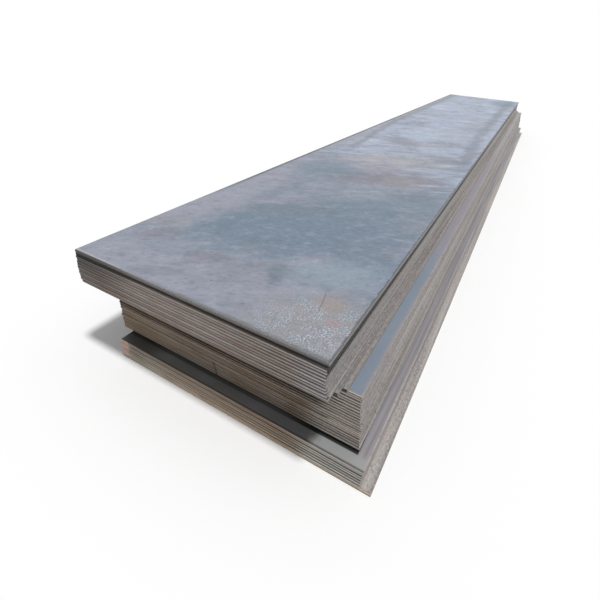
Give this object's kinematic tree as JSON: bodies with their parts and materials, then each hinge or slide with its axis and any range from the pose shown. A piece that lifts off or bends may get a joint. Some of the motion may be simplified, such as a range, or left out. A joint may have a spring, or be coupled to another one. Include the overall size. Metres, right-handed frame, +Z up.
{
  "type": "steel plate stack",
  "caption": "Stack of long flat hot-rolled steel plates lying in staggered tiers, with square-cut ends and mill scale faces; raw stock for cutting and welding.",
  "frame": {"origin": "centre of the stack's footprint, at floor level under the bottom plate", "axes": "+Z up through the stack, +Y along the plates from the front ends to the far ends, +X across the plates towards the right-hand long side"},
  "size_m": [1.749, 10.16, 0.681],
  "materials": {
    "top_steel": "blue-grey mill scale with pale smears and light rust",
    "upper_steel": "sheared edges with light rust, mill scale faces",
    "middle_steel": "sheared edges with brown rust, mill scale faces",
    "lower_steel": "sheared edges with grey and brown rust, mill scale faces"
  },
  "bodies": {
    "root": {"top_plate": "top_steel", "upper_plate_02": "upper_steel", "upper_plate_03": "upper_steel", "upper_plate_04": "upper_steel", "upper_plate_05": "upper_steel", "upper_plate_06": "upper_steel", "upper_plate_07": "upper_steel", "upper_plate_08": "upper_steel", "upper_plate_09": "upper_steel", "upper_plate_10": "upper_steel", "upper_plate_11": "upper_steel", "upper_plate_12": "upper_steel", "upper_plate_13": "upper_steel", "upper_plate_14": "upper_steel", "middle_plate_01": "middle_steel", "middle_plate_02": "middle_steel", "middle_plate_03": "middle_steel", "middle_plate_04": "middle_steel", "middle_plate_05": "middle_steel", "middle_plate_06": "middle_steel", "middle_plate_07": "middle_steel", "middle_plate_08": "middle_steel", "middle_plate_09": "middle_steel", "middle_plate_10": "middle_steel", "middle_plate_11": "middle_steel", "middle_plate_12": "middle_steel", "middle_plate_13": "middle_steel", "middle_plate_14": "middle_steel", "middle_plate_15": "middle_steel", "middle_plate_16": "middle_steel", "middle_plate_17": "middle_steel", "middle_plate_18": "middle_steel", "middle_plate_19": "middle_steel", "middle_plate_20": "middle_steel", "lower_plate_01": "lower_steel", "lower_plate_02": "lower_steel", "lower_plate_03": "lower_steel", "lower_plate_04": "lower_steel", "lower_plate_05": "lower_steel", "lower_plate_06": "lower_steel", "lower_plate_07": "lower_steel", "bottom_plate": "lower_steel"}
  },
  "joints": []
}
